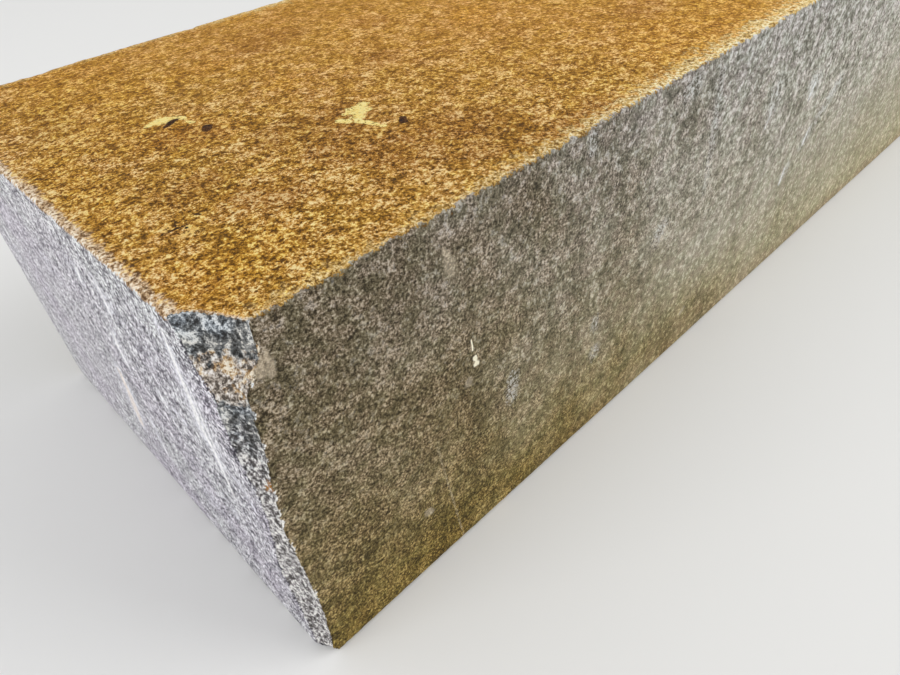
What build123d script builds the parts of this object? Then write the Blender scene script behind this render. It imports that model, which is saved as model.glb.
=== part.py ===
"""Granite kerb stone: one sawn length of granite lying flat, with one upright corner broken.

Millimetres. The length runs along X, the width along Y and the height along Z. The origin is the
middle of the underside. The near end is at minus X, the front long face at minus Y.
"""
import os
from collections import namedtuple

from build123d import *

# The sawn block
LENGTH = 1000.0
WIDTH = 300.0
HEIGHT = 197.0

# How far the arrises are eased: rubbed off at the top and the corners, rounder round the foot
TOP_ARRIS = 1.5
CORNER_ARRIS = 2.0
FOOT_ARRIS = 4.0

# The upright corner between the near end and the front is broken from top to bottom.
# A section of the break is level. It gives how far the break reaches back along the front face
# and across the end face, and how deep it is hollowed near each of the two. Its ridges lean
# towards the end face by a share of the way across.
BreakSection = namedtuple("BreakSection", "along_front across_end hollow_front hollow_end lean")

# The spalled top corner and the bite below it, by their depth below the top face
SPALL = {
    0.0: BreakSection(15.8, 24.5, 1.6, 2.4, 0.00),
    4.5: BreakSection(15.5, 17.6, 1.4, 1.8, 0.08),
    14.5: BreakSection(15.2, 17.8, 2.8, 1.2, -0.06),
    20.0: BreakSection(10.8, 13.0, 1.5, 0.9, 0.05),
    26.5: BreakSection(7.0, 8.8, 0.4, 0.3, 0.10),
    39.0: BreakSection(6.8, 10.6, 0.5, 1.2, -0.08),
    57.0: BreakSection(5.4, 12.2, 0.9, 0.8, 0.04),
    68.0: BreakSection(4.2, 7.6, 0.5, 0.4, 0.00),
    77.0: BreakSection(3.6, 5.2, -0.1, 0.2, -0.06),
}

# The long bite down to the foot, by its height as a share of what is left below the spall
LOWER_BREAK = {
    0.87: BreakSection(1.9, 7.0, -0.2, -0.1, 0.06),
    0.72: BreakSection(3.1, 11.5, -0.1, 0.3, -0.05),
    0.50: BreakSection(4.5, 17.0, 0.5, 0.9, 0.00),
    0.31: BreakSection(4.8, 13.6, 0.4, 0.4, 0.07),
    0.14: BreakSection(4.2, 11.0, 0.2, 0.5, -0.04),
    0.06: BreakSection(3.2, 9.5, 0.1, 0.1, 0.00),
    0.0: BreakSection(7.0, 12.0, 0.4, 0.2, 0.00),
}

# How far the broken part is drawn past the stone's faces before it is cut out
MARGIN = 12.0

NEAR_END = -LENGTH / 2
FRONT = -WIDTH / 2


def sawn_block():
    """The stone as it was sawn, with its arrises eased."""
    block = Pos(0, 0, HEIGHT / 2) * Box(LENGTH, WIDTH, HEIGHT)
    block = fillet(block.edges().filter_by(Axis.Z), CORNER_ARRIS)
    block = fillet(block.edges().group_by(Axis.Z)[-1], TOP_ARRIS)
    return fillet(block.edges().group_by(Axis.Z)[0], FOOT_ARRIS)


def break_outline(section, level):
    """The level outline of what broke away: past the stone's corner, and in to the broken face."""
    on_front = Vector(NEAR_END + section.along_front, FRONT)
    on_end = Vector(NEAR_END, FRONT + section.across_end)
    across = on_end - on_front
    inward = Vector(across.Y, -across.X).normalized()
    front_ridge = on_front + across * (1 / 3 + section.lean) + inward * section.hollow_front
    end_ridge = on_front + across * (2 / 3 + section.lean) + inward * section.hollow_end
    # The broken face runs straight on out of the stone at both sides
    past_front = on_front + (on_front - front_ridge).normalized() * MARGIN
    past_end = on_end + (on_end - end_ridge).normalized() * MARGIN
    outside = Vector(NEAR_END, FRONT) - inward * MARGIN * 2
    corners = [outside, past_front, front_ridge, end_ridge, past_end]
    outline = Polyline(*[(corner.X, corner.Y, level) for corner in corners], close=True)
    return make_face(outline)


def broken_corner():
    """Everything that broke off the near corner, as one solid to take out of the block."""
    left_below = HEIGHT - max(SPALL)
    sections = {HEIGHT - depth: section for depth, section in SPALL.items()}
    sections.update({share * left_below: section for share, section in LOWER_BREAK.items()})
    sections[HEIGHT + MARGIN] = SPALL[0.0]
    sections[-MARGIN] = LOWER_BREAK[0.0]
    outlines = [break_outline(sections[level], level) for level in sorted(sections)]
    return loft(outlines, ruled=True)


kerb_stone = sawn_block() - broken_corner()

os.makedirs("parts", exist_ok=True)
export_step(kerb_stone, "parts/kerb_stone.step")
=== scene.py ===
import math

import bpy
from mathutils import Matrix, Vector, noise
from mathutils.bvhtree import BVHTree
from mathutils.geometry import intersect_point_line
from mathutils.kdtree import KDTree


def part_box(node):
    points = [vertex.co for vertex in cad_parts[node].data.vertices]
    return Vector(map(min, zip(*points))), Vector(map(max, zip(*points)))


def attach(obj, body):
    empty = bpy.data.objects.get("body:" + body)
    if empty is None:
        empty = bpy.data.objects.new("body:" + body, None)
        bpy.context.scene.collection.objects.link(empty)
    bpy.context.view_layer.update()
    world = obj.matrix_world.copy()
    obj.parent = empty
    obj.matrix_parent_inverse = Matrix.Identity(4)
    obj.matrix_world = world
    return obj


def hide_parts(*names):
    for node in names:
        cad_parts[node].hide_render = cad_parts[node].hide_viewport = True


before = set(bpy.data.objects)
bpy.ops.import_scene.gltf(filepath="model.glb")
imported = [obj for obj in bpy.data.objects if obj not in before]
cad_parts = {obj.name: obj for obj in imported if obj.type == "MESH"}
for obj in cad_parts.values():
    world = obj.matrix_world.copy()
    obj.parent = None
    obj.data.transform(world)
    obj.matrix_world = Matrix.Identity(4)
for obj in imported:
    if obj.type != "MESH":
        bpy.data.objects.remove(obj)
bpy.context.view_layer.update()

# The camera
# It stands close to the broken corner, above it, and looks down along the stone.
CAMERA_PLACE = (-0.5451, -0.3093, 0.3195)
CAMERA_TURN = (49.466, 4.233, -44.635)
CAMERA_LENS = 27.34

camera = bpy.data.objects.new("camera", bpy.data.cameras.new("camera"))
bpy.context.scene.collection.objects.link(camera)
camera.location = CAMERA_PLACE
camera.rotation_euler = [math.radians(angle) for angle in CAMERA_TURN]
camera.data.lens = CAMERA_LENS
camera.data.clip_start = 0.01
bpy.context.scene.camera = camera

# The kerb stone
# One length of grey granite, sawn to size, that lies loose on its underside. Its top has weathered
# to an ochre crust, its sides are rough and stained, its ends are clean from the saw, and one
# upright corner is freshly broken.
MM = 0.001
low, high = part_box("kerb_stone")
cad_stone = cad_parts["kerb_stone"]

# The lattice that the stone's skin is drawn on is finest at the near end and at the arrises. Its
# spacing grows by a share of how far a line lies from the start, and from the end.
FINEST = 0.9 * MM
GROWTH = 0.012
FAR_FINEST = 1.6 * MM
FAR_GROWTH = 0.05
WIDEST = 6 * MM


def lattice_lines(start, end):
    """Places between two faces: close at the start, wider with distance, closer again at the end."""
    length = abs(end - start)
    steps = [0.0]
    while steps[-1] < length:
        here = steps[-1]
        spacing = min(FINEST + GROWTH * here, FAR_FINEST + FAR_GROWTH * (length - here), WIDEST)
        steps.append(here + spacing)
    fit = (end - start) / steps[-1]
    return [start + step * fit for step in steps]


lines = (
    lattice_lines(low.x, high.x),
    lattice_lines(low.y, high.y),
    lattice_lines(high.z, low.z)[::-1],
)
last = [len(places) - 1 for places in lines]

points, corners_at, skin = [], {}, []


def corner_number(index):
    """The number of the lattice point at this index, made on its first use."""
    if index not in corners_at:
        corners_at[index] = len(points)
        points.append(Vector(lines[axis][index[axis]] for axis in range(3)))
    return corners_at[index]


for axis in range(3):
    across, up = (axis + 1) % 3, (axis + 2) % 3
    for side in (0, last[axis]):
        for i in range(last[across]):
            for j in range(last[up]):
                ring = []
                for di, dj in ((0, 0), (1, 0), (1, 1), (0, 1)):
                    index = [0, 0, 0]
                    index[axis], index[across], index[up] = side, i + di, j + dj
                    ring.append(corner_number(tuple(index)))
                skin.append(ring if side else ring[::-1])

# Each lattice point is carried inwards until it meets the stone. What broke off lies near the
# corner's line, on faces that are neither level nor square.
CORE = 45 * MM
BREAK_REACH = 30 * MM
STEP_OUT = 2 * MM
SQUARE_ON = 0.999

cad_stone.data.calc_loop_triangles()
cad_points = [vertex.co.copy() for vertex in cad_stone.data.vertices]
cad_triangles = [tuple(triangle.vertices) for triangle in cad_stone.data.loop_triangles]
cad_surface = BVHTree.FromPolygons(cad_points, cad_triangles)


def is_broken(triangle):
    """Whether a triangle of the solid belongs to the break and not to a sawn face or an arris."""
    a, b, c = (cad_points[number] for number in triangle)
    centre = (a + b + c) / 3
    normal = (b - a).cross(c - a).normalized()
    near_corner = centre.x - low.x < BREAK_REACH and centre.y - low.y < BREAK_REACH
    return near_corner and max(abs(part) for part in normal) < SQUARE_ON


broken_triangles = [is_broken(triangle) for triangle in cad_triangles]
broken = []
for number, point in enumerate(points):
    core = Vector(min(max(point[a], low[a] + CORE), high[a] - CORE) for a in range(3))
    inwards = (core - point).normalized()
    place, _, triangle, _ = cad_surface.ray_cast(point - inwards * STEP_OUT, inwards)
    if place is not None:
        points[number] = place
    broken.append(1.0 if place is not None and broken_triangles[triangle] else 0.0)

mesh = bpy.data.meshes.new("weathered_stone")
mesh.from_pydata(points, [], skin)
mesh.update()

# Relief, in depth below the sawn faces. The top is pitted by weather, the long sides are flamed,
# the ends only sawn, and the break is as rough as its crystals. Arrises have lost small flakes.
TOP_RELIEF = 0.9 * MM
SIDE_RELIEF = 0.7 * MM
END_RELIEF = 0.15 * MM
BREAK_RELIEF = 1.6 * MM
ARRIS_REACH = 7 * MM
ARRIS_LOSS = 1.7 * MM
FOOT_LOSS = 0.3 * MM
SPARED_AT_THE_ENDS = 0.7
SWELL, FLAKE, PIT, CRYSTAL = 45 * MM, 11 * MM, 5 * MM, 2.2 * MM
SWELL_SHARE, PIT_SHARE, CRYSTAL_SHARE = 0.35, 0.4, 0.25
PITS_ASIDE = Vector((0.3, 0.0, 0.0))
NOISE_GAIN = 0.7
FINE_REACH = 260 * MM
LEAST_FINENESS = 0.15


def wear(place, size, octaves):
    """Soft noise about 0, in lumps of about this size, each octave half as large as the last."""
    return noise.fractal(place / size, 1.0, 2.0, octaves)


def worn_share(place, size, octaves=2):
    """How deep the surface is worn here, from 0 to 1, in hollows of about this size."""
    return min(max(0.5 + NOISE_GAIN * wear(place, size, octaves), 0.0), 1.0)


relief = []
for point, vertex, is_break in zip(points, mesh.vertices, broken):
    up, along, across = max(vertex.normal.z, 0.0), abs(vertex.normal.x), abs(vertex.normal.y)
    sawn = TOP_RELIEF * up + END_RELIEF * along + SIDE_RELIEF * across
    rough = sawn + (BREAK_RELIEF - sawn) * is_break
    swell = worn_share(point, SWELL)
    pits = worn_share(point + PITS_ASIDE, PIT, 3)
    crystals = worn_share(point, CRYSTAL)
    fineness = max(1 - (point.x - low.x) / FINE_REACH, LEAST_FINENESS)
    fine_wear = PIT_SHARE * pits + CRYSTAL_SHARE * crystals
    depth = rough * (SWELL_SHARE * swell + fine_wear * fineness)
    to_faces = sorted(min(point[a] - low[a], high[a] - point[a]) for a in range(3))
    arris = max(1 - to_faces[1] / ARRIS_REACH, 0.0)
    flake = max(wear(point, FLAKE, 2), 0.0)
    top_loss = ARRIS_LOSS * (1 - SPARED_AT_THE_ENDS * along)
    loss = top_loss if point.z > high.z - ARRIS_REACH else FOOT_LOSS
    depth += loss * flake * arris ** 2
    relief.append(point - vertex.normal * depth)

for vertex, place in zip(mesh.vertices, relief):
    vertex.co = [min(max(place[a], low[a]), high[a]) for a in range(3)]
mesh.polygons.foreach_set("use_smooth", [True] * len(mesh.polygons))


def finder_of(places):
    """A finder for the nearest of some places."""
    finder = KDTree(len(places))
    for number, place in enumerate(places):
        finder.insert(place, number)
    finder.balance()
    return finder


# How far each point lies inside the break, in millimetres, and less than nothing outside it
all_points = finder_of(relief)
in_the_break = finder_of([place for place, is_break in zip(relief, broken) if is_break])
out_of_it = finder_of([place for place, is_break in zip(relief, broken) if not is_break])
into_break = []
for place, is_break in zip(relief, broken):
    distance = out_of_it.find(place)[2] if is_break else -in_the_break.find(place)[2]
    into_break.append(distance / MM)
mark = mesh.attributes.new("into_break", "FLOAT", "POINT")
mark.data.foreach_set("value", into_break)
mesh.update()

stone = bpy.data.objects.new("weathered_stone", mesh)
bpy.context.scene.collection.objects.link(stone)

# The underside, the back and the far end need fewer points
THINNED = 0.54
FACING = 0.7
thin = stone.vertex_groups.new(name="plain_sides")
for vertex in mesh.vertices:
    if vertex.normal.z < -FACING or vertex.normal.y > FACING or vertex.normal.x > FACING:
        thin.add([vertex.index], 1.0, "REPLACE")
thinning = stone.modifiers.new("thinning", "DECIMATE")
thinning.ratio = THINNED
thinning.vertex_group = thin.name
thinning.vertex_group_factor = 1.0


class Wire:
    """A value, vector or colour on its way through a node tree; values can be added and multiplied."""

    def __init__(self, tree, socket):
        self.tree = tree
        self.socket = socket

    def sum(self, operation, *others):
        """One sum with this value and the others."""
        inputs = dict(enumerate((self, *others)))
        made = node(self.tree, "ShaderNodeMath", inputs, operation=operation)
        return Wire(self.tree, made.outputs[0])

    def __add__(self, other):
        return self.sum("ADD", other)

    def __sub__(self, other):
        return self.sum("SUBTRACT", other)

    def __rsub__(self, other):
        return self.sum("MULTIPLY_ADD", -1.0, other)

    def __mul__(self, other):
        return self.sum("MULTIPLY", other)

    def __truediv__(self, other):
        return self.sum("DIVIDE", other)

    def size(self):
        """The value without its sign."""
        return self.sum("ABSOLUTE")

    def or_less(self, other):
        """The smaller of the two."""
        return self.sum("MINIMUM", other)

    def or_more(self, other):
        """The larger of the two."""
        return self.sum("MAXIMUM", other)

    def ramp(self, start, end):
        """Runs smoothly from 0 to 1 while the value goes from start to end."""
        inputs = {0: self, 1: start, 2: end}
        settings = {"interpolation_type": "SMOOTHSTEP", "clamp": False}
        return Wire(self.tree, node(self.tree, "ShaderNodeMapRange", inputs, **settings).outputs[0])

    def colours(self, stops):
        """A colour for each value, from a list of places and colours as seen on the stone."""
        made = node(self.tree, "ShaderNodeValToRGB", {0: self})
        elements = made.color_ramp.elements
        while len(elements) < len(stops):
            elements.new(0.5)
        for element, (place, colour) in zip(elements, stops):
            element.position = place
            element.color = seen(*colour)
        return Wire(self.tree, made.outputs[0])


def feed(socket, value):
    """Wires a value into a socket, or sets the socket to a plain number, vector or colour."""
    if isinstance(value, Wire):
        value.tree.links.new(value.socket, socket)
    else:
        socket.default_value = value


def node(tree, kind, inputs=None, **settings):
    """One new node, with its settings and inputs."""
    made = tree.nodes.new(kind)
    for name, value in settings.items():
        setattr(made, name, value)
    for socket, value in (inputs or {}).items():
        feed(made.inputs[socket], value)
    return made


def vector_sum(operation, first, second, output=0):
    """One sum of two vectors, or of a vector and the number that scales it."""
    made = node(first.tree, "ShaderNodeVectorMath", {0: first}, operation=operation)
    feed(made.inputs["Scale" if operation == "SCALE" else 1], second)
    return Wire(first.tree, made.outputs[output])


def seen(red, green, blue):
    """The colour that an sRGB screen shows with these values of 0 to 255."""
    shares = [value / 255 for value in (red, green, blue)]
    linear = [share / 12.92 if share < 0.04 else ((share + 0.055) / 1.055) ** 2.4 for share in shares]
    return (*linear, 1.0)


def blend(share, first, second, how="MIX"):
    """The first colour with a share of the second."""
    inputs = {0: share, 6: first, 7: second}
    made = node(first.tree, "ShaderNodeMix", inputs, data_type="RGBA", blend_type=how)
    return Wire(first.tree, made.outputs[2])


def noise_of(place, size, detail, rough=0.5, output=0):
    """Soft noise from 0 to 1 in grains of about this many millimetres."""
    inputs = {"Vector": place, "Scale": 1 / size, "Detail": detail, "Roughness": rough}
    return Wire(place.tree, node(place.tree, "ShaderNodeTexNoise", inputs).outputs[output])


def parts_of(value, kind="ShaderNodeSeparateXYZ"):
    """The three parts of a vector, or of a colour."""
    return [Wire(value.tree, socket) for socket in node(value.tree, kind, {0: value}).outputs]


def new_group(name, inputs, outputs):
    """An empty node group with these sockets, the wires that come into it and the sockets out."""
    group = bpy.data.node_groups.new(name, "ShaderNodeTree")
    for socket, kind in inputs.items():
        group.interface.new_socket(socket, in_out="INPUT", socket_type=kind)
    for socket, kind in outputs.items():
        group.interface.new_socket(socket, in_out="OUTPUT", socket_type=kind)
    ins = group.nodes.new("NodeGroupInput").outputs
    given = {socket.name: Wire(group, socket) for socket in ins if socket.name}
    return group, given, group.nodes.new("NodeGroupOutput").inputs


def placed(tree, group, inputs):
    """A node group placed in a tree, as the wires that come out of it."""
    made = node(tree, "ShaderNodeGroup", node_tree=group)
    for name, value in inputs.items():
        feed(made.inputs[name], value)
    return {socket.name: Wire(tree, socket) for socket in made.outputs}


VALUE, VECTOR, COLOUR = "NodeSocketFloat", "NodeSocketVector", "NodeSocketColor"

# The grain of the granite, the same all through the stone: crystals of 1 to 4 mm with finer dust
# between them, clumps of crystals, and clouds of some 50 mm. All in millimetres.
FINE_GRAIN, CRYSTALS, FLAKES, CLUMPS, CLOUDS = 1.4, 1.1, 3.0, 8.0, 48.0
FLAKES_ASIDE, CLUMPS_ASIDE = (0.0, 400.0, 0.0), (700.0, 0.0, 0.0)
FINE_CONTRAST, MORE_IN_CLUMPS = 1.4, 4.4
CRYSTAL_CONTRAST, CLUMP_CONTRAST = 0.34, 0.8
# The noise at which a flake begins, at which it is whole, and how much paler or darker it then is
PALE_FLAKES, PALER_FLAKES, DARK_FLAKES = (0.48, 0.53, 0.22), (0.60, 0.62, 0.2), (0.405, 0.375, 0.24)
SPECKS = (0.585, 0.63)
grain_group, given, gives = new_group("granite_grain", {"Place": VECTOR}, {
    "Grain": VALUE, "Flake": VALUE, "Speck": VALUE, "Fine": VALUE, "Clump": VALUE, "Cloud": VALUE,
    "Tint": VALUE, "Fray": VALUE})
place = given["Place"]
fine = noise_of(place, FINE_GRAIN, detail=2.0, rough=0.8)
flakes = noise_of(vector_sum("ADD", place, FLAKES_ASIDE), FLAKES, detail=3.0, rough=0.6)
clump = noise_of(vector_sum("ADD", place, CLUMPS_ASIDE), CLUMPS, detail=2.0, rough=0.6)
cells = node(grain_group, "ShaderNodeTexVoronoi", {"Vector": place, "Scale": 1 / CRYSTALS})
crystal = parts_of(Wire(grain_group, cells.outputs["Color"]), "ShaderNodeSeparateColor")[0]
clouds = noise_of(place, CLOUDS, detail=2.0, output="Color")
cloud, tint, _ = parts_of(clouds, "ShaderNodeSeparateColor")
fine_contrast = clump * MORE_IN_CLUMPS + FINE_CONTRAST
grain = (fine - 0.5) * fine_contrast + (crystal - 0.5) * CRYSTAL_CONTRAST
grain = grain + (clump - 0.5) * CLUMP_CONTRAST + 0.5
pale, paler, dark = (
    flakes.ramp(start, end) * strength
    for start, end, strength in (PALE_FLAKES, PALER_FLAKES, DARK_FLAKES)
)
feed(gives["Grain"], grain)
feed(gives["Flake"], pale + paler - dark - 0.1)
feed(gives["Speck"], flakes.ramp(*SPECKS))
feed(gives["Fine"], fine)
feed(gives["Clump"], (clump - 0.5) * 2.0 + 0.5)
feed(gives["Cloud"], (cloud - 0.5) * 2.0 + 0.5)
feed(gives["Tint"], (tint - 0.5) * 2.0 + 0.5)
feed(gives["Fray"], (flakes - 0.5) * 3.0 + (clump - 0.5) * 2.0)

# One straight run of a mark on a face, such as lichen, a stain or a scrape: how far a place lies
# from it, as a share of the width it has there
run_group, given, gives = new_group("run_of_a_mark", {
    "Place": VECTOR, "Start": VECTOR, "End": VECTOR, "Start Width": VALUE, "End Width": VALUE,
}, {"Across": VALUE})
along = vector_sum("SUBTRACT", given["End"], given["Start"])
step = vector_sum("DIVIDE", along, vector_sum("DOT_PRODUCT", along, along, output=1))
before = vector_sum("DOT_PRODUCT", given["Start"], step, output=1)
share = vector_sum("DOT_PRODUCT", given["Place"], step, output=1) - before
share = share.or_more(0.0).or_less(1.0)
nearest = vector_sum("ADD", vector_sum("SCALE", along, share), given["Start"])
distance = vector_sum("DISTANCE", given["Place"], nearest, output=1)
widening = given["End Width"] - given["Start Width"]
feed(gives["Across"], distance / share.sum("MULTIPLY_ADD", widening, given["Start Width"]))

# The faces that carry marks, each by its axis and its place on that axis in millimetres
TOP, FRONT, NEAR_END = (2, high.z / MM), (1, low.y / MM), (0, low.x / MM)


def straight_runs(face, marks):
    """Each straight run of some marks: its two ends in space and its width at each of them."""
    axis, level = face
    for mark in marks:
        solid = [([*at[:axis], level, *at[axis:]], width) for *at, width in mark]
        for (start, start_width), (end, end_width) in zip(solid, solid[1:]):
            yield start, end, start_width, end_width


def drawn(given, face, marks, soft, frayed):
    """A mask for small marks on a face. Each runs through points of two places and a width."""
    across = None
    for start, end, start_width, end_width in straight_runs(face, marks):
        inputs = {
            "Place": given["Place"], "Start": start, "End": end,
            "Start Width": start_width, "End Width": end_width,
        }
        one = placed(given["Place"].tree, run_group, inputs)["Across"]
        across = one if across is None else across.or_less(one)
    return (across + given["Fray"] * frayed).ramp(1.0 + soft / 2, 1.0 - soft / 2)


# Where no mark is near, the stored share of its width
FAR_OFF = 3.0


def spread(given, name, face, marks, soft, frayed):
    """A mask for broad marks on a face. How far off they are is stored at the mesh's points."""
    across = [FAR_OFF] * len(mesh.vertices)
    for start, end, start_width, end_width in straight_runs(face, marks):
        start, end = Vector(start) * MM, Vector(end) * MM
        reach = (end - start).length / 2 + max(start_width, end_width) * MM * FAR_OFF
        for place, number, _ in all_points.find_range((start + end) / 2, reach):
            share = min(max(intersect_point_line(place, start, end)[1], 0.0), 1.0)
            width = (start_width + (end_width - start_width) * share) * MM
            across[number] = min(across[number], (place - start.lerp(end, share)).length / width)
    mesh.attributes.new(name, "FLOAT", "POINT").data.foreach_set("value", across)
    tree = given["Place"].tree
    stored = Wire(tree, node(tree, "ShaderNodeAttribute", attribute_name=name).outputs["Fac"])
    return (stored + given["Fray"] * frayed).ramp(1.0 + soft / 2, 1.0 - soft / 2)


def spot(first, second, width, reach=(1.0, 0.0)):
    """A run for one spot, drawn out by its reach."""
    return [(first, second, width), (first + reach[0], second + reach[1], width)]


# What each finish is given: a place in millimetres, the grain there, and in Edge how far it lies
# from the stone's end or from the break, whichever is nearer
GRAIN_INPUTS = {
    "Place": VECTOR, "Grain": VALUE, "Fine": VALUE, "Flake": VALUE, "Speck": VALUE, "Clump": VALUE,
    "Cloud": VALUE, "Tint": VALUE, "Fray": VALUE, "Edge": VALUE}

# The ochre crust of the weathered top: golden flakes on brown, redder and smoother further along
CRUST_CONTRAST, CRUST_CLUMPS = 0.85, 0.15
SMOOTHER, REDDER = (-450.0, 0.0), (-520.0, -240.0)
crust, given, gives = new_group("ochre_crust", GRAIN_INPUTS, {"Color": COLOUR})
x, y, _ = parts_of(given["Place"])
worn_smooth = (x + y * 1.2).ramp(*SMOOTHER)
further = (x + y).ramp(*REDDER)
grain = (given["Grain"] - 0.5) * CRUST_CONTRAST + given["Flake"]
grain = (grain + (given["Clump"] - 0.5) * CRUST_CLUMPS) * (1.0 - worn_smooth * 0.2)
grain = grain - (given["Fine"] - 0.5) * worn_smooth * 1.5 + 0.5
near_crust = grain.colours([
    (0.0, (88, 59, 13)),
    (0.2, (132, 94, 26)),
    (0.4, (168, 123, 47)),
    (0.6, (200, 151, 73)),
    (0.8, (235, 191, 112)),
    (1.0, (255, 239, 182)),
])
far_crust = grain.colours([
    (0.0, (122, 80, 10)),
    (0.2, (155, 109, 32)),
    (0.4, (182, 133, 55)),
    (0.6, (205, 155, 76)),
    (0.8, (234, 189, 110)),
    (1.0, (255, 226, 160)),
])
colour = blend(further, near_crust, far_crust)
clump_tint = given["Clump"].colours([
    (0.3, (255, 255, 222)),
    (0.7, (251, 247, 248)),
])
cloud_tint = given["Tint"].colours([
    (0.2, (255, 250, 233)),
    (0.8, (255, 246, 236)),
])
colour = blend(1.0, blend(1.0, colour, clump_tint, "MULTIPLY"), cloud_tint, "MULTIPLY")

# What lies on the crust: stains, lichen, chips, crumbs and cracks, by x, y and width in millimetres.
# Some brown spots are partly painted shadow, and some golden chips partly painted highlight.
BROWN_STAINS_AND_SHADOW = [
    spot(-340, 75, 14, (25, 6)),
    spot(-270, 50, 12),
    spot(-312, -5, 11),
    spot(-168, -78, 14, (10, 5)),
    spot(-424, -14, 11, (-12, 8)),
    spot(-460, -60, 8, (14, 4)),
    spot(-405, -48, 12, (14, 6)),
    # The next two spots are partly painted cast shadow near the front arris.
    spot(-380, -98, 20, (44, -14)),
    spot(-366, -125, 9, (20, -11)),
    spot(-334, -141, 8, (36, 3)),
    spot(-398, -78, 13, (28, 28)),
    spot(-442, -84, 12, (8, -8)),
    spot(-60, 40, 22, (30, -12)),
    spot(140, -60, 20, (40, 12)),
    spot(320, 70, 24, (-30, 22)),
]
GOLD_STAINS = [
    spot(-215, -125, 26, (70, 12)),
    spot(-386, 116, 9),
    spot(-394, 66, 12, (20, 0)),
    spot(-366, 8, 10),
    spot(-303, 45, 9),
    spot(-316, 137, 10),
    spot(-232, 3, 12, (10, 10)),
    spot(-478, -118, 14, (20, 0)),
    spot(-484, -60, 9, (2, 80)),
    spot(-440, 80, 34, (10, 40)),
    spot(-456, 30, 22, (30, -40)),
    spot(40, -100, 26, (60, 10)),
    spot(250, 20, 22, (50, 30)),
]
OLIVE_STAINS = [
    spot(-470, 50, 12, (10, 30)),
    spot(-437, -19, 3, (1, 2)),
    spot(60, 110, 26, (60, 6)),
]
for name, stains, stain_colour, strength in (
    ("brown_stains_and_shadow", BROWN_STAINS_AND_SHADOW, (228, 216, 206), 0.7),
    ("gold_stains", GOLD_STAINS, (255, 250, 214), 0.7),
    ("olive_stains", OLIVE_STAINS, (238, 238, 212), 0.6),
):
    stained = blend(1.0, colour, seen(*stain_colour), "MULTIPLY")
    colour = blend(spread(given, name, TOP, stains, soft=0.9, frayed=0.25) * strength, colour, stained)
YELLOW_LICHEN = [
    [(-437, 17.2, 1.0), (-431.5, 18.0, 3.4), (-427, 17.6, 4.4)],
    [(-421.5, 14.5, 1.5), (-420.5, 11.0, 1.7)],
    spot(-420.2, 3.4, 1.6, (-0.3, 2.6)),
    [(-357.2, -47.4, 2.2), (-364, -52.6, 5.4)],
    [(-364, -52.6, 4.0), (-370.5, -50.5, 1.4)],
    [(-364, -53.5, 4.0), (-371, -60.5, 2.0)],
    [(-376.8, -54.5, 1.8), (-375, -58, 2.0)],
    [(-371.6, -61.4, 1.8), (-370.0, -67.1, 1.6), (-368.2, -75.9, 1.2)],
]
lichen = (given["Fine"] * 1.6 - 0.2).colours([
    (0.1, (248, 196, 94)),
    (0.4, (255, 222, 118)),
    (0.75, (255, 239, 164)),
])
on_lichen = drawn(given, TOP, YELLOW_LICHEN, soft=0.35, frayed=0.9) * grain.ramp(-0.2, 0.3)
colour = blend(on_lichen, colour, lichen)
# Golden patches at a chip and on the front arris: partly chipped crystals, partly painted highlight.
GOLD_CHIPS_AND_HIGHLIGHTS = [
    spot(-475.2, -78.5, 1.9, (-0.8, -1.0)),
    spot(-461, -147, 2.4, (5, 1)),
    [(-476.5, -87.5, 0.9), (-471.0, -88.0, 2.6), (-467.0, -90.0, 1.2)],
]
on_chips_and_highlights = drawn(given, TOP, GOLD_CHIPS_AND_HIGHLIGHTS, soft=0.8, frayed=1.1) * grain.ramp(0.2, 0.7)
colour = blend(on_chips_and_highlights, colour, seen(244, 204, 120))
DARK_CRUMBS = [
    [(-430.2, 9.6, 1.7), (-424.6, 13, 1.9)],
    [(-417.8, -7, 2.3), (-420.2, -10.2, 2.4)],
    [(-357.2, -75.6, 1.8), (-359.8, -79.2, 2.0)],
]
CRACKS = [
    [(-478.2, -81.2, 0.4), (-475.4, -81.6, 0.6), (-472.3, -81.6, 0.8), (-468.2, -82.5, 0.5)],
    [(-469.4, -74.4, 0.3), (-472.0, -80.2, 0.4)],
    spot(-469.7, -84.2, 0.8, (0.2, 0.2)),
    spot(-462.1, -78, 1.0, (0.6, -0.8)),
]
crumb = (given["Fine"] * 2.0 - 0.5).colours([
    (0.3, (30, 10, 0)),
    (0.7, (98, 60, 20)),
])
colour = blend(drawn(given, TOP, DARK_CRUMBS, soft=0.4, frayed=0.35), colour, crumb)
colour = blend(drawn(given, TOP, CRACKS, soft=0.8, frayed=0.7), colour, seen(48, 28, 10))

# Along the arrises the crust is thin, and the pale crystals show through it: over a wider band
# further along, and pinker at the ends
BAND_WIDTH, BAND_WIDENING, BAND_WIDENS = 5.0, 6.5, (-440.0, -120.0)
PINK_WIDTH = 4.5
BACK_PLACE = high.y / MM
cream = grain.colours([
    (0.0, (128, 94, 46)),
    (0.25, (204, 166, 92)),
    (0.5, (240, 209, 138)),
    (0.8, (255, 250, 216)),
])
from_side = (y - FRONT[1]).or_less(BACK_PLACE - y)
band_width = x.ramp(*BAND_WIDENS) * BAND_WIDENING + BAND_WIDTH
band = (from_side / band_width + given["Fray"] * 1.8).ramp(1.1, 0.6)
band = band * (x.ramp(-420.0, -240.0) * 0.5 + 0.5)
colour = blend(band, colour, cream)
pink = grain.colours([
    (0.0, (104, 76, 50)),
    (0.25, (182, 148, 108)),
    (0.5, (228, 200, 164)),
    (0.8, (255, 244, 226)),
])
pink_band = (given["Edge"] / PINK_WIDTH + given["Fray"] * 0.9).ramp(1.2, 0.5)
colour = blend(pink_band * 0.9, colour, pink)
feed(gives["Color"], colour)
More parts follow.
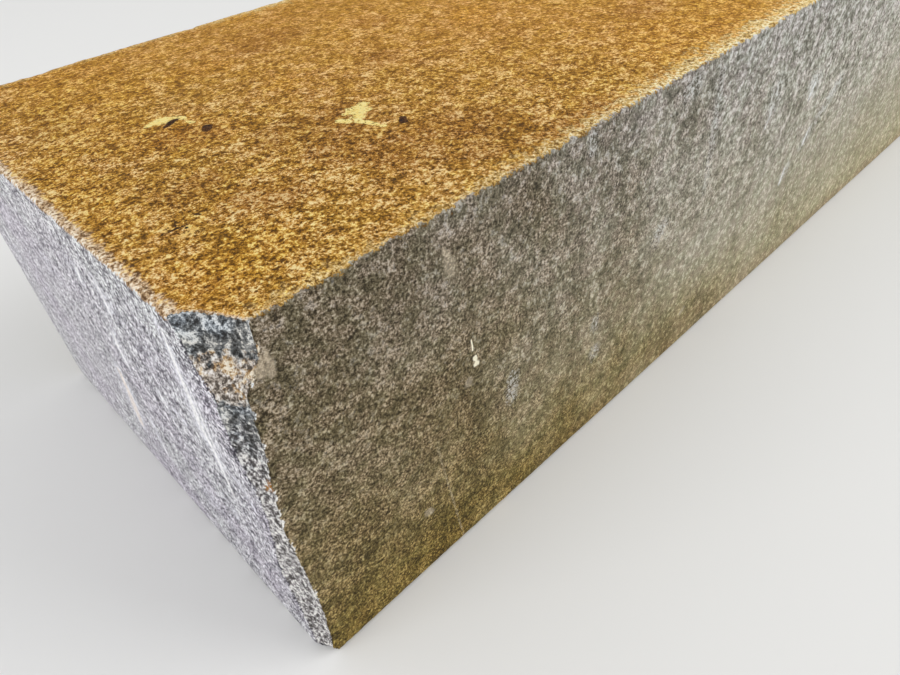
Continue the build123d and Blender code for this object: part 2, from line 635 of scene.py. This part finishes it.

# The rough long sides: dark near the broken corner, paler further along partly as painted
# sheen, and browned at the foot partly by stain and partly as painted contact shade
SIDE_CONTRAST = 0.86
PALER, PALE_WANDER = (-470.0, -60.0), 120.0
LOWER_DOWN = (170.0, 60.0)
RUNS, RUNS_DRAWN_DOWN = 15.0, (1.0, 1.0, 0.3)
side, given, gives = new_group("rough_side", GRAIN_INPUTS, {"Color": COLOUR})
x, _, z = parts_of(given["Place"])
drawn_down = vector_sum("MULTIPLY", given["Place"], RUNS_DRAWN_DOWN)
runs = noise_of(drawn_down, RUNS, detail=2.0, rough=0.6)
# Paler further along: partly the stone's own tone, partly painted sheen of a side seen at a slant.
paler_with_sheen_share = (x + (given["Cloud"] - 0.5) * PALE_WANDER).ramp(*PALER)
low_down = z.ramp(*LOWER_DOWN)
grain = (given["Grain"] - 0.5) * SIDE_CONTRAST + given["Flake"] * (paler_with_sheen_share * 0.8 + 0.55)
grain = grain - (given["Fine"] - 0.5) * paler_with_sheen_share * (low_down * 1.3 + 1.4)
grain = grain + (runs - 0.5) * (paler_with_sheen_share * 0.35 + 0.4)
grain = grain * (1.0 - paler_with_sheen_share * low_down * 0.5) + x.ramp(-160.0, 120.0) * 0.07
grain = grain + (given["Cloud"] - 0.5) * 0.15 + 0.49
dark = grain.colours([
    (0.0, (52, 44, 31)),
    (0.2, (79, 70, 52)),
    (0.4, (105, 93, 72)),
    (0.6, (126, 114, 92)),
    (0.8, (152, 140, 118)),
    (1.0, (192, 180, 158)),
])
pale = grain.colours([
    (0.0, (98, 94, 86)),
    (0.2, (132, 128, 120)),
    (0.4, (157, 153, 146)),
    (0.6, (177, 174, 167)),
    (0.8, (202, 200, 194)),
    (1.0, (236, 234, 230)),
])
colour = blend(paler_with_sheen_share, dark, pale)
clump_tint = given["Clump"].colours([
    (0.3, (252, 255, 246)),
    (0.7, (255, 250, 249)),
])
colour = blend(1.0, colour, clump_tint, "MULTIPLY")
colour = blend(given["Speck"] * (paler_with_sheen_share * 0.5 + 0.1), colour, seen(222, 221, 218))
# Towards the foot the colour turns browner and darker: partly stain, partly painted contact shade and
# painted light from the floor, with less of it further along.
BROWN_WANDER = 25.0
height = (z + (given["Cloud"] - 0.5) * BROWN_WANDER) / TOP[1]
foot_stain_and_shade = height.colours([
    (0.0, (252, 232, 148)),
    (0.1, (254, 240, 168)),
    (0.28, (255, 245, 202)),
    (0.55, (255, 251, 235)),
    (1.0, (246, 248, 255)),
])
foot_stain_and_shade = blend(1.0, colour, foot_stain_and_shade, "MULTIPLY")
colour = blend(1.0 - paler_with_sheen_share * 0.45, colour, foot_stain_and_shade)

# What marks the front: stains, pale patches, strokes and lines, by x, z and width in millimetres
BROWN_FOOT = [[(-340, 6, 8), (-190, 6, 24), (-60, 2, 9), (300, 2, 7)]]
brown = blend(1.0, colour, seen(236, 224, 222), "MULTIPLY")
at_the_foot = spread(given, "brown_foot", FRONT, BROWN_FOOT, soft=0.9, frayed=0.25)
colour = blend(at_the_foot * 0.55, colour, brown)
DARK_STAINS = [
    spot(-440, 164, 17, (16, 2)),
    spot(-486, 142, 9, (1, -14)),
]
darkened = blend(1.0, colour, seen(238, 237, 236), "MULTIPLY")
on_stains = spread(given, "dark_stains", FRONT, DARK_STAINS, soft=0.9, frayed=0.3)
colour = blend(on_stains * 0.8, colour, darkened)
PALE_PATCHES = [spot(-240, 128, 30, (50, -20))]
patched = spread(given, "pale_patches", FRONT, PALE_PATCHES, soft=1.2, frayed=0.25)
patched = patched * (grain.ramp(0.25, 0.85) * 0.16 + 0.05)
colour = blend(patched, colour, seen(228, 224, 214))
CREAM_MARKS = [
    [(-394.6, 130.5, 0.3), (-394.2, 124.5, 0.7)],
    [(-393.0, 119.5, 1.1), (-392.6, 115.8, 1.6)],
]
WHITE_STROKES = [
    [(-71, 139, 0.9), (-75, 130, 1.5)],
    [(-85.5, 84, 1.1), (-88, 75, 1.7)],
    [(-131.5, 139, 0.9), (-135.5, 131, 1.3)],
    [(-59, 104, 0.9), (-63, 94, 1.3)],
]
FAINT_MARKS = [
    [(-405, 181, 1.2), (-402.6, 173, 2.4), (-402.4, 169, 1.4)],
    spot(-398, 107.2, 1.8, (0, 1.5)),
    spot(-430, 45.5, 1.9, (0.2, -1.5)),
    spot(-205, 29, 2.2, (2, 1)),
]
WHITE_MARKS = [
    [(-369, 90, 3.5), (-370, 78, 4.5)],
    spot(-303, 80, 3.5, (0, 4)),
    spot(-301, 59, 4, (0, 3)),
    spot(-247, 110, 6, (2, 3)),
    spot(-85, 80, 6, (3, 2)),
    spot(-70, 133, 6, (4, 3)),
    spot(-75, 140, 7, (6, 0)),
    spot(-131, 144, 8, (0, 8)),
    spot(-236, 187, 6, (5, 2)),
    spot(-315, 193, 3, (0, -8)),
    [(-206, 188, 3), (-203, 150, 4), (-202, 115, 2)],
    [(-65, 94, 5), (-24, 127, 6)],
]
rubbed = grain.ramp(0.25, 0.85)
whitened = spread(given, "white_marks", FRONT, WHITE_MARKS, soft=0.9, frayed=1.2) * (rubbed * 0.7)
faintly = drawn(given, FRONT, FAINT_MARKS, soft=1.2, frayed=1.2) * (rubbed * 0.5 + 0.35)
creamed = drawn(given, FRONT, CREAM_MARKS, soft=0.5, frayed=0.9) * (rubbed * 0.1 + 0.9)
stroked = drawn(given, FRONT, WHITE_STROKES, soft=1.0, frayed=1.2) * (rubbed * 0.5 + 0.4)
colour = blend(whitened, colour, seen(216, 217, 216))
colour = blend(faintly, colour, seen(206, 192, 168))
colour = blend(creamed, colour, seen(255, 248, 222))
colour = blend(stroked, colour, seen(240, 241, 243))
THIN_LINES = [[(-420, 83, 0.7), (-416, 50, 0.6), (-410, 3, 0.7)]]
lined = drawn(given, FRONT, THIN_LINES, soft=1.0, frayed=1.2) * (rubbed * 0.6 + 0.1)
colour = blend(lined, colour, seen(194, 180, 148))
BEIGE_SMEAR = [
    [(-484.6, 185.5, 1.0), (-485.2, 181, 2.0), (-485.6, 176, 2.0)],
    [(-482.4, 184.5, 0.9), (-482.0, 178, 1.6), (-482.6, 173.5, 1.2)],
]
smeared = drawn(given, FRONT, BEIGE_SMEAR, soft=1.0, frayed=0.8) * (rubbed * 0.4 + 0.5)
colour = blend(smeared, colour, seen(198, 182, 158))
feed(gives["Color"], colour)

# The sawn ends: clean and pale, with the crystals cut flat, and scraped streaks
END_CONTRAST, END_FLAKES = 1.1, 0.5
NEARER = (20.0, -120.0)
SHADED_OVER = 280.0
sawn_end, given, gives = new_group("sawn_end", GRAIN_INPUTS, {"Color": COLOUR})
_, y, z = parts_of(given["Place"])
near_side = (y + z * -0.4).ramp(*NEARER)
grain = (given["Grain"] - 0.5) * END_CONTRAST + given["Flake"] * END_FLAKES
grain = grain + given["Fray"] * 0.2
grain = grain * (near_side * 0.52 + 0.8) + y.ramp(-60.0, 100.0) * 0.05 + 0.5
colour = grain.colours([
    (0.0, (74, 71, 78)),
    (0.2, (125, 121, 129)),
    (0.4, (166, 163, 170)),
    (0.6, (193, 190, 197)),
    (0.8, (223, 221, 227)),
    (1.0, (255, 255, 255)),
])
cloud_tint = given["Tint"].colours([
    (0.2, (252, 250, 255)),
    (0.8, (252, 255, 253)),
])
colour = blend(1.0, colour, cloud_tint, "MULTIPLY")
shade = ((y + z * 0.5) / SHADED_OVER + 0.5).colours([
    (0.0, (243, 241, 243)),
    (0.4, (249, 248, 249)),
    (0.8, (255, 254, 253)),
])
colour = blend(1.0, colour, shade, "MULTIPLY")

# What marks the near end: scrapes, scored lines and pale clouds, by y, z and width in millimetres
SCRAPES = [
    [(-115.4, 188, 2.5), (-115, 178, 4), (-114.4, 165, 5.5), (-113.8, 154, 6.5)],
    [(-113.8, 154, 6.5), (-112, 142, 7.5), (-112, 130, 8.5), (-113.6, 122, 5), (-113.5, 112, 3)],
    [(-121, 118, 1.5), (-129, 115, 2.5), (-134, 104, 1.5)],
    [(-41, 144, 2.5), (-33, 130, 4), (-33, 118, 3)],
    [(-5, 102, 3.5), (-4, 91, 6), (1.5, 77, 7.5), (8, 61, 8), (14.5, 44, 4)],
    [(-20, 75, 2.5), (-17, 51, 3.5), (-16, 42, 2)],
    [(-31, 172, 2.5), (-27, 164, 2.5)],
    [(-54, 177, 2), (-53.5, 171, 3), (-51.5, 160, 2.5)],
    [(-69, 124, 2.5), (-72, 115, 3)],
    [(-81, 123, 2), (-88, 122, 2.5)],
]
SCORED_LINES = [
    [(-117, 186, 0.8), (-115, 172, 1.4), (-113.5, 152, 2.0), (-111, 136, 2.4)],
    [(-111, 136, 2.4), (-113.7, 122, 1.6), (-113, 92, 1.0)],
    [(-107.4, 81, 0.6), (-109.8, 74, 0.9)],
    [(-119, 160, 0.4), (-117, 140, 1.0), (-117.5, 126, 0.8)],
    [(-37.7, 141, 1.0), (-32.7, 130, 1.6), (-33.2, 119, 1.4)],
    [(-30.7, 172, 1.4), (-27, 164, 1.2)],
    [(-44.5, 177, 0.7), (-47, 173, 1.0)],
    [(-53.6, 177, 1.0), (-53.5, 171.5, 1.4), (-51.3, 156, 1.0)],
    [(-69, 124, 1.0), (-70, 117, 1.2)],
    [(-17, 52, 1.0), (-16, 43, 1.2)],
]
CREAM_SCRAPE = [[(-4.5, 98, 2.2), (1.4, 77, 3.6), (8, 60, 4.0), (14, 45, 2.2)]]
PALE_CLOUDS = [
    spot(-60, 165, 10, (6, 1)),
    spot(-27, 168, 7, (4, 0)),
    spot(28, 145, 8, (4, 0)),
    spot(-104, 73, 8, (5, 0)),
    spot(118, 115, 9, (4, 0)),
    [(-84, 46, 5), (-74, 56, 6), (-62, 48, 6), (-60, 32, 4)],
]
rubbed = grain.ramp(0.15, 0.75)
clouded = spread(given, "pale_clouds", NEAR_END, PALE_CLOUDS, soft=1.4, frayed=0.6) * rubbed * 0.5
scraped = drawn(given, NEAR_END, SCRAPES, soft=1.8, frayed=0.5) * (rubbed * 0.6 + 0.3)
scored = drawn(given, NEAR_END, SCORED_LINES, soft=0.8, frayed=0.5) * (rubbed * 0.4 + 0.5)
creamed = drawn(given, NEAR_END, CREAM_SCRAPE, soft=0.9, frayed=0.6) * (rubbed * 0.5 + 0.35)
colour = blend(clouded, colour, seen(216, 215, 224))
colour = blend(scraped, colour, seen(236, 235, 243))
colour = blend(creamed, colour, seen(246, 235, 224))
colour = blend(scored, colour, seen(255, 254, 254))
feed(gives["Color"], colour)

# The fresh break: blue-grey and white crystals, with a rusty seam below the top corner
SEAM_TOP, SEAM_FOOT, SEAM_RAGGED = (12.0, 15.5), (30.0, 26.0), 9.0
FINER_BELOW = (30.0, 60.0)
PALER_BELOW, PALER_RAGGED = (30.0, 75.0), 24.0
fresh, given, gives = new_group("fresh_break", GRAIN_INPUTS, {"Color": COLOUR})
_, y, z = parts_of(given["Place"])
depth = TOP[1] - z
ragged_depth = depth + given["Fray"] * SEAM_RAGGED
in_seam = ragged_depth.ramp(*SEAM_TOP) * ragged_depth.ramp(*SEAM_FOOT)
bruised = (given["Edge"] * -0.13 + given["Fray"] * 0.6).ramp(0.9, 0.2)
grain = (given["Grain"] - 0.5) * (depth.ramp(*FINER_BELOW) * 0.1 + 0.8)
grain = grain + given["Flake"] * (1.0 - in_seam * 0.5)
grain = grain + (given["Fine"] - 0.5) * (in_seam.or_more(depth.ramp(*FINER_BELOW)) * 1.1)
grain = grain + given["Speck"] * 0.12 + bruised * 0.12 + 0.51
dark = grain.colours([
    (0.0, (56, 55, 55)),
    (0.2, (78, 79, 80)),
    (0.4, (105, 107, 109)),
    (0.6, (138, 140, 142)),
    (0.8, (186, 186, 187)),
    (1.0, (244, 242, 239)),
])
creamy = grain.colours([
    (0.0, (92, 84, 76)),
    (0.2, (130, 120, 110)),
    (0.4, (170, 159, 148)),
    (0.6, (206, 195, 184)),
    (1.0, (252, 247, 242)),
])
tan = grain.colours([
    (0.0, (106, 82, 56)),
    (0.2, (152, 120, 80)),
    (0.4, (190, 156, 112)),
    (0.6, (218, 190, 152)),
    (1.0, (254, 243, 222)),
])
low_down = grain.colours([
    (0.0, (84, 80, 78)),
    (0.25, (132, 127, 126)),
    (0.5, (172, 168, 168)),
    (0.75, (210, 207, 207)),
    (1.0, (255, 252, 248)),
])
crystal_tint = given["Clump"].colours([
    (0.3, (252, 251, 246)),
    (0.7, (240, 248, 255)),
])
dark = blend(1.0, dark, crystal_tint, "MULTIPLY")
rust = blend((given["Fray"] + (y - FRONT[1]) * -0.02).ramp(-0.25, 0.05), creamy, tan)
colour = blend((depth + given["Fray"] * PALER_RAGGED).ramp(*PALER_BELOW), dark, low_down)
colour = blend(in_seam, colour, rust)
RUST_SPOT = [[(-499, 132, 2.0), (-496.5, 127.5, 3.2)]]
rusty = drawn(given, FRONT, RUST_SPOT, soft=0.6, frayed=0.6) * grain.ramp(1.0, 0.4)
colour = blend(rusty, colour, seen(178, 126, 62))
feed(gives["Color"], colour)

# The granite itself: the four finishes, each where it belongs, over one grain. In the break the
# crystals are whole and show larger, so the grain is drawn there at a share of its scale.
CRYSTALS_LARGER, CRYSTALS_TALLER = 0.85, 0.7
# How far the grain carries each finish past its line, in millimetres. The crust ends in lumps, and
# in grains that reach further near the broken corner.
END_RAGGED, BREAK_RAGGED = 3.0, 1.8
LUMPS, MORE_LUMPS, AWAY_FROM_THE_END = 1.9, 1.4, (4.0, 16.0)
GRAINS, FEWER_GRAINS, FURTHER_ALONG = 7.0, -3.0, (-330.0, -200.0)
CRUST_PAST_THE_END = 1.2
ROUGHNESS = 0.85
SHINE = 0.2
BUMP_DEPTH = 3.0 * MM
# How much of that depth the fine grain has everywhere and what each finish adds, and what the crust
# loses further along
PLAIN_BUMP, CRUST_BUMP, SIDE_BUMP, BREAK_BUMP, WORN_OFF = 0.2, 0.3, 0.2, 0.5, 0.25
granite = bpy.data.materials.new("weathered_granite")
granite.use_nodes = True
tree = granite.node_tree
shader = tree.nodes["Principled BSDF"]
here = Wire(tree, node(tree, "ShaderNodeTexCoord").outputs["Object"])
in_mm = vector_sum("SCALE", here, 1 / MM)
x, y, z = parts_of(in_mm)
into_break = Wire(tree, node(tree, "ShaderNodeAttribute", attribute_name="into_break").outputs["Fac"])
inside = into_break.sum("GREATER_THAN", 0.0)
level_scale = inside * (CRYSTALS_LARGER - 1.0) + 1.0
scales = {0: level_scale, 1: level_scale, 2: inside * (CRYSTALS_TALLER - 1.0) + 1.0}
crystal_scale = Wire(tree, node(tree, "ShaderNodeCombineXYZ", scales).outputs[0])
grain = placed(tree, grain_group, {"Place": vector_sum("MULTIPLY", in_mm, crystal_scale)})
below_top = TOP[1] - z
from_end = x.size() * -1.0 - NEAR_END[1]
from_side = y.size() * -1.0 - FRONT[1]
on_end = (from_end - from_side + grain["Fray"] * END_RAGGED).ramp(0.2, -0.2)
lumps = from_end.ramp(*AWAY_FROM_THE_END) * MORE_LUMPS + LUMPS
grains = x.ramp(*FURTHER_ALONG) * FEWER_GRAINS + GRAINS
frayed = grain["Fray"] * lumps + (grain["Fine"] - 0.5) * grains
from_arris = from_side.or_less(from_end + CRUST_PAST_THE_END)
on_top = (below_top - from_arris + frayed).ramp(0.4, -0.4)
in_break = (into_break + grain["Fray"] * BREAK_RAGGED).ramp(-0.2, 0.2)

shared = {"Place": in_mm, "Edge": from_end.or_less(into_break * -3.0)}
shared.update(grain)
colour = placed(tree, side, shared)["Color"]
for finish, mask in ((sawn_end, on_end), (crust, on_top), (fresh, in_break)):
    colour = blend(mask, colour, placed(tree, finish, shared)["Color"])
feed(shader.inputs["Base Color"], colour)
shader.inputs["Roughness"].default_value = ROUGHNESS
shader.inputs["Specular IOR Level"].default_value = SHINE
crust_bump = below_top.ramp(2.5, 0.5) * (CRUST_BUMP - x.ramp(-420.0, -100.0) * WORN_OFF)
bump_share = crust_bump + from_end.ramp(0.5, 2.5) * SIDE_BUMP
bump_share = bump_share + into_break.ramp(-0.5, 0.5) * BREAK_BUMP + PLAIN_BUMP
inputs = {"Height": grain["Fine"] * bump_share, "Strength": 1.0, "Distance": BUMP_DEPTH}
bump = node(tree, "ShaderNodeBump", inputs)
tree.links.new(bump.outputs[0], shader.inputs["Normal"])
mesh.materials.append(granite)

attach(stone, "root")
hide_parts("kerb_stone")

# The studio
# A plain pale floor that runs out of the picture, a white sky, one broad soft light from the front
# and a weaker one for the near end.
FLOOR_REACH = 40.0
FLOOR_COLOUR = (0.80, 0.80, 0.79, 1.0)
FLOOR_ROUGHNESS = 0.9
SKY_COLOUR = (1.0, 1.0, 1.0, 1.0)
SKY_STRENGTH = 0.75
LIT_PLACE = Vector((0.0, 0.0, 0.1))

floor_mesh = bpy.data.meshes.new("floor")
corners = ((-1, -1), (1, -1), (1, 1), (-1, 1))
floor_points = [(x * FLOOR_REACH, y * FLOOR_REACH, low.z) for x, y in corners]
floor_mesh.from_pydata(floor_points, [], [(0, 1, 2, 3)])
floor = bpy.data.objects.new("floor", floor_mesh)
bpy.context.scene.collection.objects.link(floor)
floor_paint = bpy.data.materials.new("floor_paint")
floor_paint.use_nodes = True
paint_shader = floor_paint.node_tree.nodes["Principled BSDF"]
paint_shader.inputs["Base Color"].default_value = FLOOR_COLOUR
paint_shader.inputs["Roughness"].default_value = FLOOR_ROUGHNESS
floor_mesh.materials.append(floor_paint)

world = bpy.data.worlds.new("sky")
bpy.context.scene.world = world
world.use_nodes = True
background = world.node_tree.nodes["Background"]
background.inputs["Color"].default_value = SKY_COLOUR
background.inputs["Strength"].default_value = SKY_STRENGTH

# Each lamp's place and width in metres, and its power in watts
LAMPS = {
    "broad_light": ((2.2, -2.7, 2.9), 2.7, 80.0),
    "end_light": ((-3.2, 0.3, 1.5), 1.9, 26.0),
}
for name, (place, size, power) in LAMPS.items():
    lamp = bpy.data.objects.new(name, bpy.data.lights.new(name, "AREA"))
    bpy.context.scene.collection.objects.link(lamp)
    lamp.data.size = size
    lamp.data.energy = power
    lamp.location = place
    towards = LIT_PLACE - Vector(place)
    lamp.rotation_euler = towards.to_track_quat("-Z", "Y").to_euler()

bpy.context.scene.view_settings.view_transform = "Standard"
